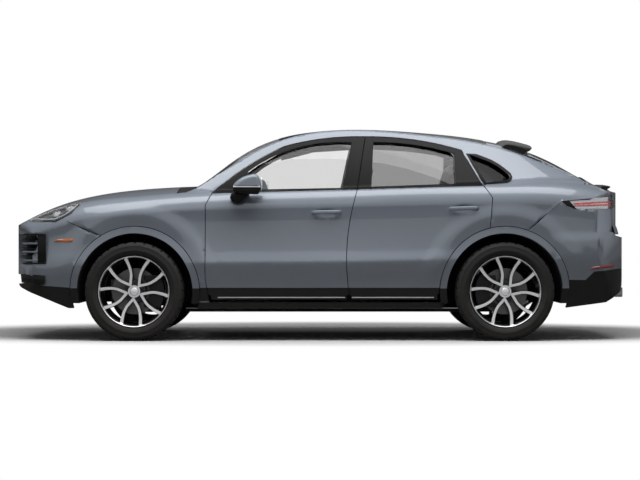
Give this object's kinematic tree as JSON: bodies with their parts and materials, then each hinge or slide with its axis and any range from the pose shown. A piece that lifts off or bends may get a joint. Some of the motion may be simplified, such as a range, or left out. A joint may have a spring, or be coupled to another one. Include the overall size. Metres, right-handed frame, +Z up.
{
  "type": "sport utility vehicle",
  "caption": "Coupe-roofed road vehicle with opening doors, hood and tailgate, steered front wheels and a furnished cabin",
  "frame": {"origin": "on the ground below the middle of the overall length, on the centre line", "axes": "nose towards -X, left side towards -Y, +Z up"},
  "size_m": [4.93, 2.176, 1.6901],
  "materials": {
    "paint": "metallic blue-grey paint",
    "black_gloss": "gloss black",
    "black_plastic": "grained black",
    "steel": "underbody coating",
    "glass_clear": "clear tint",
    "glass_dark": "dark tint",
    "lens_clear": "clear lens over a dark housing",
    "lens_red": "smoked red lens",
    "tyre": "tyre rubber",
    "alloy": "machined and painted alloy",
    "cast": "cast metal",
    "aluminium": "plain metal",
    "stainless": "stainless",
    "dash": "soft black",
    "leather": "dark red leather"
  },
  "bodies": {
    "body": {"floor_pan": "steel", "body_sides": "paint", "front_fenders": "paint", "front_bumper": "paint", "grille": "black_plastic", "rear_bumper": "paint", "headlamps": "lens_clear", "tail_lamps": "lens_red", "cowl": "black_plastic", "windshield": "glass_clear", "roof_panel": "black_gloss", "quarter_windows": "glass_dark", "arch_trims": "black_plastic", "front_suspension": "cast", "rear_suspension": "cast", "rear_knuckle_left": "cast", "rear_knuckle_right": "cast", "engine": "aluminium", "exhaust": "stainless", "dashboard": "dash", "steering_wheel": "dash", "seats": "leather"},
    "hood": {"hood": "paint"},
    "tailgate": {"tailgate": "paint", "rear_window": "glass_dark", "spoilers": "black_plastic", "light_bar": "lens_red"},
    "front_door_left": {"front_door_left": "paint", "front_door_window_left": "glass_clear", "mirror_left": "paint"},
    "rear_door_left": {"rear_door_left": "paint", "rear_door_window_left": "glass_dark"},
    "front_knuckle_left": {"front_knuckle_left": "cast"},
    "front_wheel_left": {"front_tyre_left": "tyre", "front_wheel_left": "alloy"},
    "rear_wheel_left": {"rear_tyre_left": "tyre", "rear_wheel_left": "alloy"},
    "front_door_right": {"front_door_right": "paint", "front_door_window_right": "glass_clear", "mirror_right": "paint"},
    "rear_door_right": {"rear_door_right": "paint", "rear_door_window_right": "glass_dark"},
    "front_knuckle_right": {"front_knuckle_right": "cast"},
    "front_wheel_right": {"front_tyre_right": "tyre", "front_wheel_right": "alloy"},
    "rear_wheel_right": {"rear_tyre_right": "tyre", "rear_wheel_right": "alloy"}
  },
  "joints": [
    {"name": "front_door_left_hinge", "type": "hinge", "parent": "body", "child": "front_door_left", "pos_m": [-0.896, -0.955, 0.615], "axis": [0, 0, -1], "range_deg": [0, 62]},
    {"name": "rear_door_left_hinge", "type": "hinge", "parent": "body", "child": "rear_door_left", "pos_m": [0.2071, -0.958, 0.615], "axis": [0, 0, -1], "range_deg": [0, 62]},
    {"name": "steer_left", "type": "hinge", "parent": "body", "child": "front_knuckle_left", "pos_m": [-1.45, -0.79, 0.386], "axis": [0, 0, 1], "range_deg": [-33, 33]},
    {"name": "front_wheel_left_spin", "type": "hinge", "parent": "front_knuckle_left", "child": "front_wheel_left", "pos_m": [-1.45, -0.843, 0.386], "axis": [0, 1, 0], "continuous": true},
    {"name": "rear_wheel_left_spin", "type": "hinge", "parent": "body", "child": "rear_wheel_left", "pos_m": [1.445, -0.843, 0.386], "axis": [0, 1, 0], "continuous": true},
    {"name": "front_door_right_hinge", "type": "hinge", "parent": "body", "child": "front_door_right", "pos_m": [-0.896, 0.955, 0.615], "axis": [0, 0, 1], "range_deg": [0, 62]},
    {"name": "rear_door_right_hinge", "type": "hinge", "parent": "body", "child": "rear_door_right", "pos_m": [0.2071, 0.958, 0.615], "axis": [0, 0, 1], "range_deg": [0, 62]},
    {"name": "steer_right", "type": "hinge", "parent": "body", "child": "front_knuckle_right", "pos_m": [-1.45, 0.79, 0.386], "axis": [0, 0, 1], "range_deg": [-33, 33]},
    {"name": "front_wheel_right_spin", "type": "hinge", "parent": "front_knuckle_right", "child": "front_wheel_right", "pos_m": [-1.45, 0.843, 0.386], "axis": [0, 1, 0], "continuous": true},
    {"name": "rear_wheel_right_spin", "type": "hinge", "parent": "body", "child": "rear_wheel_right", "pos_m": [1.445, 0.843, 0.386], "axis": [0, 1, 0], "continuous": true},
    {"name": "hood_hinge", "type": "hinge", "parent": "body", "child": "hood", "pos_m": [-1.127, 0, 1.2215], "axis": [0, 1, 0], "range_deg": [0, 50]},
    {"name": "tailgate_hinge", "type": "hinge", "parent": "body", "child": "tailgate", "pos_m": [1.327, 0, 1.603], "axis": [0, -1, 0], "range_deg": [0, 70]}
  ],
  "couplings": [
    {"joint": "steer_right", "follows": "steer_left", "ratio": 1}
  ]
}
